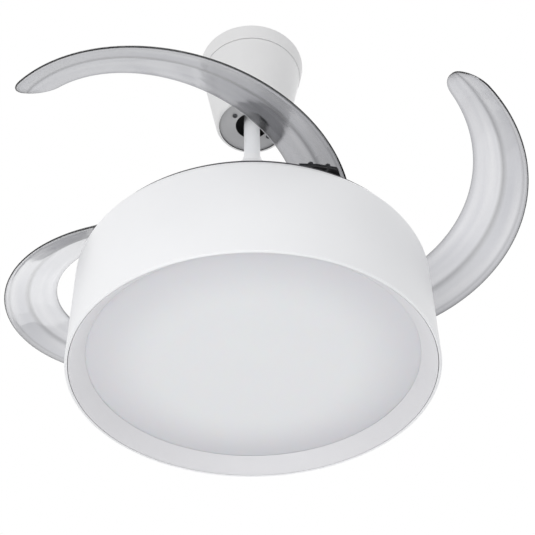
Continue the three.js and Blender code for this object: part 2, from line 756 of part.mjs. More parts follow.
function innerEdgeRadius(t) {
  const along = INNER_EDGE_OFFSET * Math.cos((-t * BLADE_SPAN - INNER_EDGE_TURN) * DEG);
  return along + Math.sqrt(INNER_EDGE_R ** 2 - INNER_EDGE_OFFSET ** 2 + along ** 2);
}

const crown = (w) => (w < RIDGE_AT
  ? (w * RIDGE_HEIGHT) / RIDGE_AT
  : RIDGE_HEIGHT + ((w - RIDGE_AT) * (1 - RIDGE_HEIGHT)) / (1 - RIDGE_AT));

// height of the blade's middle sheet at t (0 pivot, 1 tip) and radius r
function bladeHeight(t, r) {
  const w = (BLADE_R - r) / (BLADE_R - innerEdgeRadius(t));
  const rise = BLADE_RISE * Math.max(t, 0) ** BLADE_RISE_POWER;
  return up(BLADE_ROOT_Z + rise + BLADE_PITCH * crown(w));
}

function bladePlace(t, r, offset) {
  const p = at(r, -t * BLADE_SPAN);
  return [p.x, p.y, bladeHeight(t, r) + offset];
}

const BLADE_START = -0.07; // shares of the length, as the next two are
const TIP_ROUND = 0.063;
const ROOT_ROUND = 0.046;
const LEAST_WIDTH = 0.16; // share of the full width that the flat tip keeps
const HALF_T = BLADE_T / 2;
// across the blade: share of the width, and share of the lip's height there
const SECTION = [[0, 0.6], [0.045, 1], [0.09, 0], [RIDGE_AT, 0], [1, 0]];

function bladeGeometry() {
  // steps are closer together towards both ends
  const ease = (u) => (1 - Math.cos(Math.PI * (0.08 + 0.84 * u))) / 2;
  const along = (u) => BLADE_START + ((1 - BLADE_START) * (ease(u) - ease(0))) / (ease(1) - ease(0));
  const widthShare = (t) => {
    const tip = Math.max(0, (t - (1 - TIP_ROUND)) / TIP_ROUND);
    const root = Math.max(0, (BLADE_START + ROOT_ROUND - t) / ROOT_ROUND);
    return Math.max(LEAST_WIDTH, Math.sqrt(Math.max(0, 1 - Math.max(tip, root) ** 2.3)));
  };
  const point = (side) => (u, v) => {
    const t = along(u);
    const [w, lip] = SECTION[Math.round(v * (SECTION.length - 1))];
    const inside = innerEdgeRadius(t);
    const half = ((BLADE_R - inside) / 2) * widthShare(t);
    const r = (BLADE_R + inside) / 2 + half * (1 - 2 * w);
    return bladePlace(t, r, side * (HALF_T + BLADE_LIP * lip));
  };
  return betweenSheets(16, SECTION.length - 1, point(1), point(-1));
}

// a patch under or over the blade; low and high are offsets from its middle sheet,
// or flat heights { z }
function patch(shares, radii, low, high, steps) {
  const point = (offset) => (u, v) => {
    const t = shares[0] + (shares[1] - shares[0]) * u;
    const r = radii[0] + (radii[1] - radii[0]) * v;
    if (typeof offset === 'number') return bladePlace(t, r, offset);
    const p = at(r, -t * BLADE_SPAN);
    return [p.x, p.y, offset.z];
  };
  return betweenSheets(steps[0], steps[1], point(high), point(low));
}

const STUDS = [[0.025, 229], [0.025, 206], [-0.012, 196]]; // [share of the length, radius]
const STUD_R = 2.8;
const STUD_HOLE_R = 3.4;
const STUD_BELOW = 8; // how far a stud reaches below the blade's middle sheet
const BOSS_R = 5.5;
const CAP_R = 4;
const SEAT_OFFSET = HALF_T + 2 * GAP; // hub and clamp keep this far from the middle sheet

// upright rods at the studs, between two offsets from the blade's middle sheet
function studRods(radius, low, high) {
  return STUDS.map(([t, r]) => {
    const place = at(r, -t * BLADE_SPAN);
    const z = bladeHeight(t, r);
    return moved(rod(radius, z + low, z + high, 6), place.x, place.y);
  });
}

const CUP_R = 17.5;
const CUP_TOP = 184;
const POCKET_R = CUP_R - 3;
const SEAT_SHARES = [-0.026, 0.036]; // the part of the blade's length that the hub holds
const SEAT_RADII = [188, 243];
const SEAT_T = 3;
const RIB_SHARES = [-0.02, 0.014];
const RIB_RADII = [[188, 193], [222.5, 228]];

function hubSector() {
  const pitch = 360 / HUB_TEETH;
  const mesh = 180 - OPEN_ANGLE; // direction of the sync gear from the pivot, with the blade open
  const lastTooth = mesh + 6.5 * pitch;
  const outline = [at(6, mesh - 24), at(50, mesh - 20)];
  for (let k = -1.5; k <= 6.5; k++) {
    for (const [r, turn] of toothCorners(HUB_TEETH, mesh + k * pitch)) outline.push(at(r, turn));
  }
  outline.push(at(50, lastTooth + 6), at(6, lastTooth + 10));
  return moved(plate(new THREE.Shape(outline), up(GEAR_Z), up(GEAR_TOP)), PIVOT_R, 0);
}

// a gear sector and a spring cup, with two ribs that carry a seat under the blade's root
function bladeHub() {
  const under = -SEAT_OFFSET;
  const seat = patch(SEAT_SHARES, SEAT_RADII, under - SEAT_T, under, [1, 4]);
  const ribFoot = { z: up(GEAR_Z + 1) };
  const ribs = RIB_RADII.map((radii) => patch(RIB_SHARES, radii, ribFoot, under - 1, [1, 1]));
  const cup = moved(rod(CUP_R, up(GEAR_Z), up(CUP_TOP), 14), PIVOT_R, 0);
  const pocket = moved(rod(POCKET_R, up(GEAR_TOP), up(CUP_TOP + 3), 14), PIVOT_R, 0);
  const bore = moved(rod(POST_R + GAP + 0.2, up(GEAR_Z - 1), up(CUP_TOP), 12), PIVOT_R, 0);
  const bosses = studRods(BOSS_R, -STUD_BELOW - 1, -STUD_BELOW + 3.2);
  const body = join(hubSector(), seat, ...ribs, cup, ...bosses);
  return cut(body, pocket, bore, ...studRods(STUD_HOLE_R, -STUD_BELOW - 2, STUD_BELOW));
}

function bladeClamp() {
  const over = SEAT_OFFSET;
  const capPlate = patch([-0.022, 0.032], [191, SEAT_RADII[1]], over, over + 2.6, [1, 4]);
  const shanks = studRods(STUD_R, -STUD_BELOW, over + 1);
  const caps = studRods(CAP_R, over + 2.4, over + 6);
  return join(capPlate, ...shanks, ...caps);
}

function pivotPost() {
  const foot = CARRIER_Z + 0.2;
  const shoulder = CARRIER_TOP + GAP;
  const headR = 9.4;
  const top = CUP_TOP + 1.4;
  return turned(upward([
    [0, foot], [POST_FOOT_R, foot], [POST_FOOT_R, shoulder], [POST_R, shoulder],
    [POST_R, top - 3.4], [headR, top - 2.8], [headR, top], [0, top],
  ]), 14);
}

const SPRING = { meanR: 11.6, wireR: 0.9, turns: 3, stepsPerTurn: 8, foot: GEAR_TOP + 1.6, pitch: 3.6 };

class Helix extends THREE.Curve {
  getPoint(s, target = new THREE.Vector3()) {
    const turn = s * SPRING.turns * 360;
    const p = at(SPRING.meanR, turn);
    return target.set(p.x, p.y, up(SPRING.foot) + s * SPRING.turns * SPRING.pitch);
  }
}

function retractSpring() {
  const wire = new THREE.Shape(Array.from({ length: 5 }, (_, i) => at(SPRING.wireR, i * 72)));
  const geometry = new THREE.ExtrudeGeometry(wire, {
    steps: SPRING.turns * SPRING.stepsPerTurn, bevelEnabled: false, extrudePath: new Helix(),
  });
  return tidy(geometry).translate(PIVOT_R, 0, 0);
}

// least distance between the surfaces of two neighbouring coils
function springGap() {
  const helix = new Helix();
  const count = SPRING.turns * SPRING.stepsPerTurn;
  let least = Infinity;
  for (let i = 0; i <= count; i++) {
    for (let j = i + SPRING.stepsPerTurn / 2; j <= count; j++) {
      least = Math.min(least, helix.getPoint(i / count).distanceTo(helix.getPoint(j / count)));
    }
  }
  return least - 2 * SPRING.wireR;
}

// a group whose children were built folded with the pivot on +X
function placeBlade(turn) {
  const azimuth = new THREE.Group();
  azimuth.rotation.z = turn * DEG;
  const pivot = new THREE.Group();
  pivot.position.x = PIVOT_R;
  pivot.rotation.z = OPEN_ANGLE * DEG;
  const folded = new THREE.Group();
  folded.position.x = -PIVOT_R;
  fan.add(azimuth);
  azimuth.add(pivot);
  pivot.add(folded);
  return folded;
}

function bladeMechanism() {
  addPart('blade_carrier', bladeCarrier(), 'greyAnodised');
  addPart('top_cover', topCover(), 'whitePlastic');
  addPart('sync_gear', syncGear(), 'nylon');
  const holed = cut(bladeGeometry(), ...studRods(STUD_HOLE_R, -STUD_BELOW, STUD_BELOW));
  for (const [i, turn] of bladeTurns.entries()) {
    const folded = placeBlade(turn);
    addPart(`blade_${i + 1}`, holed.clone(), 'clear', folded);
    addPart(`blade_hub_${i + 1}`, bladeHub(), 'blackPlastic', folded);
    addPart(`blade_clamp_${i + 1}`, bladeClamp(), 'darkSteel', folded);
    addPart(`retract_spring_${i + 1}`, retractSpring(), 'steel', folded);
    const post = addPart(`pivot_post_${i + 1}`, pivotPost(), 'steel');
    const place = at(PIVOT_R, turn);
    post.position.set(place.x, place.y, 0);
  }
}

ceilingMount();
hangingParts();
motor();
lampDrum();
bladeMechanism();

console.log(`retract spring: least gap between coils ${springGap().toFixed(2)} mm`);
const ringTurn = (OPEN_ANGLE * HUB_TEETH) / SYNC_TEETH;
console.log(`pivots at ${PIVOT_R} mm, fold ${OPEN_ANGLE} degrees, sync gear ${ringTurn.toFixed(2)} degrees`);

export default fan;
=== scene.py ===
# %% [markdown]
# # A ceiling fan whose clear blades fold away over a white lamp drum
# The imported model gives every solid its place, its size and its joints. This lesson keeps all of
# that and gives the fan its finish: smooth turned shells instead of faceted ones, blades with a
# rolled lip and a soft ridge, and materials made from nodes. Work is in metres, +Z is up, and the
# origin is the middle of the bracket where it meets the ceiling, so the fan hangs in -Z.

# %% Load the frame
import json
import math

import bmesh
import bpy
from mathutils import Matrix, Vector


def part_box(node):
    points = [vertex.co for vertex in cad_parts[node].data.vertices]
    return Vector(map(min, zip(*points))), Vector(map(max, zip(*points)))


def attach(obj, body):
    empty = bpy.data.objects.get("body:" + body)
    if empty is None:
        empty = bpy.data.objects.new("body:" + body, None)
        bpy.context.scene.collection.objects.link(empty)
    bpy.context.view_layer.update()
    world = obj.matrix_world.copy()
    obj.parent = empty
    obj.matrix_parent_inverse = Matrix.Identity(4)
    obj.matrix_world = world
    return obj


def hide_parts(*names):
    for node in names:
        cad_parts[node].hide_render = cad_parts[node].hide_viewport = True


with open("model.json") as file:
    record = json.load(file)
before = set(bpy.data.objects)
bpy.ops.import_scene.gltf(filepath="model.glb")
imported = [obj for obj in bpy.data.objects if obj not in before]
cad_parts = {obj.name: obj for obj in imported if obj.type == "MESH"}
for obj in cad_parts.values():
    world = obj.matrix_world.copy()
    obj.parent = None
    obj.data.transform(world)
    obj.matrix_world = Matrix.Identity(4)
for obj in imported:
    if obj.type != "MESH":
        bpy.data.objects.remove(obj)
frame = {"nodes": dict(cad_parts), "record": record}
nodes = frame["nodes"]
body_of = {node: body for body, held in frame["record"]["behaviour"]["bodies"].items() for node in held}
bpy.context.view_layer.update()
MM = 0.001

# %% [markdown]
# ## The camera
# The photograph looks up at the lamp from in front and below. A camera can be aimed with a
# constraint or with angles. Angles are used here, because yaw, pitch and roll say plainly how a
# photographer held it, and the three axes of the camera follow from them.

# %% The camera's place and aim
CAMERA_PLACE = Vector((0.0, -1.0847, -1.4812))
CAMERA_YAW = math.radians(1.134)
CAMERA_PITCH = math.radians(42.511)
CAMERA_ROLL = math.radians(-1.187)
CAMERA_LENS = 67.29
SENSOR_WIDTH = 36
DRUM_MIDDLE = (0, 0, -0.6)


def camera_axes(yaw, pitch, roll):
    """The camera's right, up and forward directions"""
    forward = Vector((math.sin(yaw) * math.cos(pitch), math.cos(yaw) * math.cos(pitch), math.sin(pitch)))
    level = Vector((math.cos(yaw), -math.sin(yaw), 0))
    above = level.cross(forward)
    right = math.cos(roll) * level + math.sin(roll) * above
    up = -math.sin(roll) * level + math.cos(roll) * above
    return right, up, forward


right, up, forward = camera_axes(CAMERA_YAW, CAMERA_PITCH, CAMERA_ROLL)
camera_data = bpy.data.cameras.new("photo_camera")
camera_data.lens = CAMERA_LENS
camera_data.sensor_width = SENSOR_WIDTH
camera = bpy.data.objects.new("photo_camera", camera_data)
camera.matrix_world = Matrix.Translation(CAMERA_PLACE) @ Matrix((right, up, -forward)).transposed().to_4x4()
bpy.context.scene.collection.objects.link(camera)
bpy.context.scene.camera = camera
print("camera is", round((CAMERA_PLACE - Vector(DRUM_MIDDLE)).length, 3), "m from the drum")

# %% [markdown]
# ## Shared surface effects
# Paint, moulded plastic and metal are never perfectly even. Each effect here is a node group that
# is built once and used by several materials with their own values. A group puts out only numbers
# and colours that change over the surface. The shader stays in each material.

# %% Helpers that make node groups and nodes
def new_group(name, inputs, outputs):
    """An empty group with number inputs (name: default) and outputs (name: socket type)"""
    group = bpy.data.node_groups.new(name, "ShaderNodeTree")
    for label, value in inputs.items():
        socket = group.interface.new_socket(label, in_out="INPUT", socket_type="NodeSocketFloat")
        socket.default_value = value
    for label, kind in outputs.items():
        group.interface.new_socket(label, in_out="OUTPUT", socket_type=kind)
    start = group.nodes.new("NodeGroupInput")
    end = group.nodes.new("NodeGroupOutput")
    return group, start, end


def add_node(tree, kind, settings=None, **sockets):
    """A node with its settings, and plain values on its sockets, by name"""
    node = tree.nodes.new(kind)
    for label, value in (settings or {}).items():
        setattr(node, label, value)
    for label, value in sockets.items():
        node.inputs[label.replace("_", " ")].default_value = value
    return node


def math_node(tree, operation, first, second=None):
    """A Math node fed by sockets or plain numbers; gives its output"""
    node = tree.nodes.new("ShaderNodeMath")
    node.operation = operation
    for slot, value in enumerate((first, second)):
        if value is None:
            continue
        if isinstance(value, (int, float)):
            node.inputs[slot].default_value = value
        else:
            tree.links.new(value, node.inputs[slot])
    return node.outputs[0]


def map_range(tree, value, settings=None, **limits):
    """A Map Range node fed by a socket, with its limits by name; gives its output"""
    node = add_node(tree, "ShaderNodeMapRange", settings, **limits)
    tree.links.new(value, node.inputs["Value"])
    return node.outputs[0]


def off_axis(tree, split):
    """How far a point lies from the fan's axis, from its separated X and Y"""
    x_squared = math_node(tree, "MULTIPLY", split.outputs["X"], split.outputs["X"])
    y_squared = math_node(tree, "MULTIPLY", split.outputs["Y"], split.outputs["Y"])
    return math_node(tree, "SQRT", math_node(tree, "ADD", x_squared, y_squared))


# %% Grain: the fine unevenness of paint and moulded plastic
def build_grain():
    """Fine unevenness for the bump, and broad patches for the tone"""
    group, start, end = new_group("surface_grain", {"Fine": 900.0, "Broad": 14.0},
                                  {"Height": "NodeSocketFloat", "Tone": "NodeSocketFloat"})
    place = group.nodes.new("ShaderNodeTexCoord").outputs["Object"]
    fine = add_node(group, "ShaderNodeTexNoise", Detail=3.0, Roughness=0.55)
    broad = add_node(group, "ShaderNodeTexNoise", Detail=4.0, Roughness=0.6)
    for noise, label in ((fine, "Fine"), (broad, "Broad")):
        group.links.new(place, noise.inputs["Vector"])
        group.links.new(start.outputs[label], noise.inputs["Scale"])
    group.links.new(fine.outputs[0], end.inputs["Height"])
    group.links.new(broad.outputs[0], end.inputs["Tone"])
    return group


# %% Dust: a thin film on faces that look up
def build_dust():
    """A mask that is patchy, and only there where a face looks up"""
    group, start, end = new_group("settled_dust", {"Amount": 0.3, "Scale": 60.0}, {"Mask": "NodeSocketFloat"})
    normal = group.nodes.new("ShaderNodeNewGeometry").outputs["Normal"]
    split = group.nodes.new("ShaderNodeSeparateXYZ")
    group.links.new(normal, split.inputs[0])
    facing = map_range(group, split.outputs["Z"], From_Min=0.55, From_Max=0.98)
    place = group.nodes.new("ShaderNodeTexCoord").outputs["Object"]
    noise = add_node(group, "ShaderNodeTexNoise", Detail=6.0, Roughness=0.7)
    group.links.new(place, noise.inputs["Vector"])
    group.links.new(start.outputs["Scale"], noise.inputs["Scale"])
    patches = map_range(group, noise.outputs[0], From_Min=0.35, From_Max=0.75)
    film = math_node(group, "MULTIPLY", facing, patches)
    mask = math_node(group, "MULTIPLY", film, start.outputs["Amount"])
    group.links.new(mask, end.inputs["Mask"])
    return group


# %% Turning marks: fine rings round the fan's axis
def build_rings():
    """Rings that a lathe leaves, mixed with a little of a broad tone"""
    group, start, end = new_group("turning_marks", {"Pitch": 2500.0, "Wander": 0.2},
                                  {"Height": "NodeSocketFloat", "Tone": "NodeSocketFloat"})
    place = group.nodes.new("ShaderNodeTexCoord").outputs["Object"]
    split = group.nodes.new("ShaderNodeSeparateXYZ")
    group.links.new(place, split.inputs[0])
    along = math_node(group, "ADD", off_axis(group, split), split.outputs["Z"])
    stretched = math_node(group, "MULTIPLY", along, start.outputs["Pitch"])
    place_in_rings = group.nodes.new("ShaderNodeCombineXYZ")
    group.links.new(stretched, place_in_rings.inputs["X"])
    rings = add_node(group, "ShaderNodeTexNoise", Scale=1.0, Detail=2.0)
    group.links.new(place_in_rings.outputs[0], rings.inputs["Vector"])
    tone = add_node(group, "ShaderNodeTexNoise", Scale=30.0, Detail=3.0)
    group.links.new(place, tone.inputs["Vector"])
    mixed = add_node(group, "ShaderNodeMix", {"data_type": "FLOAT"})
    group.links.new(start.outputs["Wander"], mixed.inputs["Factor"])
    group.links.new(rings.outputs[0], mixed.inputs["A"])
    group.links.new(tone.outputs[0], mixed.inputs["B"])
    group.links.new(mixed.outputs["Result"], end.inputs["Height"])
    group.links.new(tone.outputs[0], end.inputs["Tone"])
    return group


# %% Build the groups that many materials share
GRAIN = build_grain()
DUST = build_dust()
RINGS = build_rings()
print("node groups", [group.name for group in (GRAIN, DUST, RINGS)])

# %% [markdown]
# ## Materials
# Most finishes here share one build: a base colour that varies a little over broad patches, a
# roughness that follows the same patches, a fine bump, and a film of dust where faces look up.
# One function makes that, with the values that tell one finish from the next.

# %% One build for paints, plastics and plain metals
def place_group(tree, group, **values):
    """A group node in a material's tree, with its own values"""
    node = tree.nodes.new("ShaderNodeGroup")
    node.node_tree = group
    for label, value in values.items():
        node.inputs[label].default_value = value
    return node


def mix_colour(tree, factor, first, second):
    """A colour mix; each colour is a socket or a plain tuple"""
    node = add_node(tree, "ShaderNodeMix", {"data_type": "RGBA"})
    tree.links.new(factor, node.inputs["Factor"])
    for label, value in (("A", first), ("B", second)):
        socket = [s for s in node.inputs if s.name == label and s.type == "RGBA"][0]
        if isinstance(value, tuple):
            socket.default_value = (*value, 1.0)
        else:
            tree.links.new(value, socket)
    return [s for s in node.outputs if s.type == "RGBA"][0]


def new_material(name, **values):
    """A material, its node tree and its shader, with plain values on the shader's sockets by name"""
    material = bpy.data.materials.new(name)
    material.use_nodes = True
    shader = material.node_tree.nodes["Principled BSDF"]
    for label, value in values.items():
        shader.inputs[label.replace("_", " ")].default_value = value
    return material, material.node_tree, shader


def add_bump(tree, shader, height, strength, distance):
    """Feeds a height socket to the shader's normal; distance is in metres"""
    bumps = add_node(tree, "ShaderNodeBump", Strength=strength, Distance=distance)
    tree.links.new(height, bumps.inputs["Height"])
    tree.links.new(bumps.outputs[0], shader.inputs["Normal"])


SMOOTHER, ROUGHER = 0.05, 0.07  # how far roughness wanders below and above its value
DUST_ROUGHNESS = 0.5  # what full dust adds to it


def finish(name, colour, deep, roughness, metal=0.0, bump=0.02, fine=900.0, marks=None, coat=0.0,
           specular=0.5):
    """A material whose colour wanders between colour and deep"""
    material, tree, shader = new_material(name, Metallic=metal, Specular_IOR_Level=specular,
                                          Coat_Weight=coat, Coat_Roughness=0.12)
    if marks:
        detail = place_group(tree, RINGS, Pitch=marks, Wander=0.25)
    else:
        detail = place_group(tree, GRAIN, Fine=fine, Broad=14.0)
    patches = mix_colour(tree, detail.outputs["Tone"], colour, deep)
    film = place_group(tree, DUST, Amount=0.25, Scale=70.0).outputs["Mask"]
    tree.links.new(mix_colour(tree, film, patches, DUST_COLOUR), shader.inputs["Base Color"])
    gloss = map_range(tree, detail.outputs["Tone"], To_Min=roughness - SMOOTHER, To_Max=roughness + ROUGHER)
    dulled = math_node(tree, "ADD", gloss, math_node(tree, "MULTIPLY", film, DUST_ROUGHNESS))
    tree.links.new(dulled, shader.inputs["Roughness"])
    add_bump(tree, shader, detail.outputs["Height"], strength=bump, distance=0.0006)
    return material


# %% The finishes of the fan
DUST_COLOUR = (0.62, 0.60, 0.57)
FINISHES = {
    "white_paint": finish("white_paint", (0.87, 0.875, 0.885), (0.83, 0.835, 0.85), 0.38, bump=0.12,
                          fine=700.0),
    "white_plastic": finish("white_plastic", (0.88, 0.88, 0.885), (0.85, 0.85, 0.855), 0.33, bump=0.05),
    # a darker, slightly warmer copy of the white plastic for the canopy: the darkness is painted shade
    "shaded_canopy_plastic": finish("shaded_canopy_plastic", (0.82, 0.815, 0.81), (0.77, 0.765, 0.76), 0.42, bump=0.08),
    # near black for the inward and upward faces inside the canopy: painted shade
    "inner_painted_shade": finish("inner_painted_shade", (0.014, 0.014, 0.015), (0.02, 0.02, 0.021), 0.85, specular=0.08),
    # a darker copy of the white plastic for the bezel's lip: painted shade
    "shaded_lip_plastic": finish("shaded_lip_plastic", (0.77, 0.765, 0.775), (0.73, 0.725, 0.74), 0.4, bump=0.05),
    "grey_paint": finish("grey_paint", (0.50, 0.50, 0.505), (0.43, 0.43, 0.435), 0.5, bump=0.15, fine=700.0),
    "nylon": finish("nylon", (0.68, 0.68, 0.62), (0.60, 0.60, 0.54), 0.5, bump=0.08),
    "black_plastic": finish("black_plastic", (0.022, 0.022, 0.024), (0.03, 0.03, 0.033), 0.42, bump=0.15),
    "steel": finish("steel", (0.52, 0.53, 0.54), (0.42, 0.43, 0.45), 0.32, metal=1.0, marks=1800.0),
    "grey_anodised": finish("grey_anodised", (0.10, 0.10, 0.108), (0.07, 0.07, 0.078), 0.45, metal=0.6),
    "aluminium": finish("aluminium", (0.62, 0.63, 0.65), (0.52, 0.53, 0.55), 0.4, metal=1.0, marks=1200.0),
    "dark_steel": finish("dark_steel", (0.085, 0.088, 0.095), (0.06, 0.062, 0.066), 0.4, metal=0.8),
    "copper": finish("copper", (0.62, 0.22, 0.08), (0.42, 0.12, 0.04), 0.3, metal=1.0, marks=900.0, coat=0.4),
    "magnet": finish("magnet", (0.05, 0.05, 0.052), (0.035, 0.035, 0.036), 0.6),
}
print("finishes", sorted(FINISHES))

# %% [markdown]
# ### The frosted lamp cover
# The diffuser is a flat milky panel. It is palest in the middle and a little greyer towards its
# edge, where less light reaches it. Distance from the axis drives that change.

# %% Frosted diffuser
LAMP_MIDDLE = (0.86, 0.845, 0.852)
LAMP_EDGE = (0.73, 0.715, 0.74)
LAMP_FADE_FROM = 0.55  # share of the radius
MOTTLING = 0.12


def frosted_material(radius):
    """Milky plastic for a panel of the given radius"""
    material, tree, shader = new_material("frosted", Subsurface_Weight=0.15, Subsurface_Scale=0.01)
    grain = place_group(tree, GRAIN, Fine=1600.0, Broad=9.0)
    split = tree.nodes.new("ShaderNodeSeparateXYZ")
    tree.links.new(tree.nodes.new("ShaderNodeTexCoord").outputs["Object"], split.inputs[0])
    edge = map_range(tree, off_axis(tree, split), {"interpolation_type": "SMOOTHSTEP"},
                     From_Min=radius * LAMP_FADE_FROM, From_Max=radius)
    panel = mix_colour(tree, edge, LAMP_MIDDLE, LAMP_EDGE)
    mottling = math_node(tree, "MULTIPLY", grain.outputs["Tone"], MOTTLING)
    tree.links.new(mix_colour(tree, mottling, panel, LAMP_EDGE), shader.inputs["Base Color"])
    gloss = map_range(tree, grain.outputs["Tone"], To_Min=0.48, To_Max=0.6)
    tree.links.new(gloss, shader.inputs["Roughness"])
    add_bump(tree, shader, grain.outputs["Height"], strength=0.15, distance=0.0004)
    return material


FINISHES["frosted"] = frosted_material(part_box("diffuser")[1].x)

# %% [markdown]
# ### The clear blade plastic
# The blades are moulded from clear plastic with a smoky tint. Seen square on they look nearly
# clear, and seen at a slant they look grey, because light goes a longer way through them. Volume
# absorption could do that too, but it is slow and noisy, so Layer Weight drives the tint instead.
# The blade's mesh carries two numbers at each point: how far along the blade it lies, and how far
# across. They draw painted shade, dark on the edges, the lip, the ridge, the root and the tip, and
# the streaks that the moulding left.

# %% Painted shade across and along the blade: (share of the width or the length, tone)
SHADE_ACROSS = [(0.0, 0.42), (0.022, 0.58), (0.05, 0.95), (0.085, 0.70), (0.13, 0.94), (0.36, 0.93),
               (0.44, 0.62), (0.50, 1.0), (0.90, 1.0), (0.965, 0.84), (1.0, 0.60)]
SHADE_ALONG = [(0.0, 0.66), (0.12, 0.70), (0.3, 0.86), (0.45, 1.0), (0.975, 1.0), (0.99, 0.82), (1.0, 0.45)]


def build_flow_and_shade():
    """Streaks along a blade, and painted shade across and along it"""
    group, start, end = new_group("moulded_flow_and_shade", {"Length": 2.0, "Width": 5.0},
                                  {"Tone": "NodeSocketFloat", "Streaks": "NodeSocketFloat"})
    along = add_node(group, "ShaderNodeAttribute", {"attribute_name": "along"}).outputs["Fac"]
    across = add_node(group, "ShaderNodeAttribute", {"attribute_name": "across"}).outputs["Fac"]
    place = group.nodes.new("ShaderNodeCombineXYZ")
    group.links.new(math_node(group, "MULTIPLY", along, start.outputs["Length"]), place.inputs["X"])
    group.links.new(math_node(group, "MULTIPLY", across, start.outputs["Width"]), place.inputs["Y"])
    streaks = add_node(group, "ShaderNodeTexNoise", Scale=1.0, Detail=1.0, Roughness=0.5)
    group.links.new(place.outputs[0], streaks.inputs["Vector"])
    tones = []
    for value, stops in ((across, SHADE_ACROSS), (along, SHADE_ALONG)):
        ramp = group.nodes.new("ShaderNodeValToRGB")
        while len(ramp.color_ramp.elements) < len(stops):
            ramp.color_ramp.elements.new(0.5)
        for element, (position, tone) in zip(ramp.color_ramp.elements, stops):
            element.position = position
            element.color = (tone, tone, tone, 1.0)
        group.links.new(value, ramp.inputs[0])
        tones.append(ramp.outputs[0])
    # this Tone is painted shade on the blade's edges, lip, ridge, root and tip
    group.links.new(math_node(group, "MULTIPLY", *tones), end.inputs["Tone"])
    spread = map_range(group, streaks.outputs[0], From_Min=0.3, From_Max=0.7)
    group.links.new(spread, end.inputs["Streaks"])
    return group


FLOW_AND_SHADE = build_flow_and_shade()
print("tone stops across the blade", len(SHADE_ACROSS))


# %% Clear smoky plastic
SQUARE_ON = (0.80, 0.80, 0.82)
AT_A_SLANT = (0.30, 0.305, 0.325)
STREAK_TONE = (0.83, 0.835, 0.855)
GRAIN_SHARE = 0.15  # of the fine grain in the bump, beside the streaks


def clear_material():
    """Clear plastic whose tint deepens at a slant and along the blade's streaks, with painted shade on its
    edges, lip, ridge, root and tip
    """
    material, tree, shader = new_material("clear_plastic", Transmission_Weight=1.0, IOR=1.49)
    grain = place_group(tree, GRAIN, Fine=260.0, Broad=11.0)
    flow_and_shade = place_group(tree, FLOW_AND_SHADE, Length=2.0, Width=5.0)
    facing = add_node(tree, "ShaderNodeLayerWeight", Blend=0.5).outputs["Facing"]
    slant = map_range(tree, facing, From_Min=0.1, From_Max=0.8)
    tint = mix_colour(tree, slant, SQUARE_ON, AT_A_SLANT)
    streaky = mix_colour(tree, flow_and_shade.outputs["Streaks"], STREAK_TONE, (1.0, 1.0, 1.0))
    # the streaks and the painted shade on edges, lip, ridge, root and tip darken the tint
    for darker in (streaky, flow_and_shade.outputs["Tone"]):
        mixed = add_node(tree, "ShaderNodeMix", {"data_type": "RGBA", "blend_type": "MULTIPLY"})
        mixed.inputs["Factor"].default_value = 1.0
        first, second = [socket for socket in mixed.inputs if socket.type == "RGBA"]
        tree.links.new(tint, first)
        tree.links.new(darker, second)
        tint = [socket for socket in mixed.outputs if socket.type == "RGBA"][0]
    film = place_group(tree, DUST, Amount=0.12, Scale=90.0).outputs["Mask"]
    tree.links.new(mix_colour(tree, film, tint, DUST_COLOUR), shader.inputs["Base Color"])
    gloss = map_range(tree, flow_and_shade.outputs["Streaks"], To_Min=0.04, To_Max=0.13)
    tree.links.new(gloss, shader.inputs["Roughness"])
    fine = math_node(tree, "MULTIPLY", grain.outputs["Height"], GRAIN_SHARE)
    unevenness = math_node(tree, "ADD", fine, flow_and_shade.outputs["Streaks"])
    add_bump(tree, shader, unevenness, strength=0.05, distance=0.001)
    return material


FINISHES["clear_plastic"] = clear_material()
slot_of = {entry["node"]: entry["material_slot"] for entry in frame["record"]["subparts"]}
for node, piece in nodes.items():
    piece.data.materials.clear()
    piece.data.materials.append(FINISHES[slot_of[node]])
print("materials on the solids", len(nodes))

# %% [markdown]
# ## Turned pieces
# Most of a fan is round: shells, covers, the rod, the motor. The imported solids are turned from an
# outline in a few dozen flat steps. Cutting a solid with a half plane gives that outline back, so
# the sizes stay the solid's own. Its corners are then rounded and it is spun again in fine steps.
# A bevel modifier could round the corners too, but it would keep the flat steps.

# %% Read the outline of a turned solid
CUT_TURN = math.radians(-90.02)  # just beside a row of the solid's corners
SAME_PLACE = 0.2 * MM
ON_AXIS = 1e-5
STRAIGHT = math.radians(1.5)  # a corner that turns less than this is left out
WELD = 1e-6
CUT_TOLERANCE = 1e-8
SHORTEST_CUT = 1e-7


